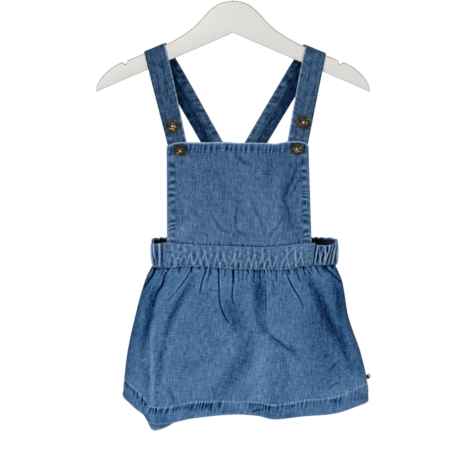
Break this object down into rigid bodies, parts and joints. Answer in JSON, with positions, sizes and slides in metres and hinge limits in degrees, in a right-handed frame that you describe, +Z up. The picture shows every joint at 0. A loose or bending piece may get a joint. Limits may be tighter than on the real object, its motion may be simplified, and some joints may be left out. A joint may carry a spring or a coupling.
{
  "type": "denim pinafore skirt on a clothes hanger",
  "caption": "Toddler's gathered denim skirt with a bib and buttoned shoulder straps crossed at the back, hung over a white wooden child's hanger.",
  "frame": {"origin": "the inside crown of the hanger's hook, where a rail carries it", "axes": "+Z up along the hanging garment; -Y out of its front; +X along the hanger to the right as the front is seen"},
  "size_m": [0.3154, 0.0739, 0.5633],
  "materials": {
    "denim": "washed mid-blue denim, matt, with paler worn seams and puckers",
    "button_horn": "mottled dark horn, satin",
    "woven_tape": "blank woven tape, dark with a pale edge",
    "white_wood": "off-white paint, satin",
    "hook_wire": "bright plated steel wire"
  },
  "bodies": {
    "root": {"bib": "denim", "waistband_front": "denim", "waistband_back": "denim", "skirt_front": "denim", "skirt_back": "denim", "strap_left": "denim", "strap_right": "denim", "strap_button_left": "button_horn", "strap_button_right": "button_horn", "bib_button_left": "button_horn", "bib_button_right": "button_horn", "side_tab": "woven_tape", "hanger_body": "white_wood", "hanger_hook": "hook_wire"}
  },
  "joints": []
}
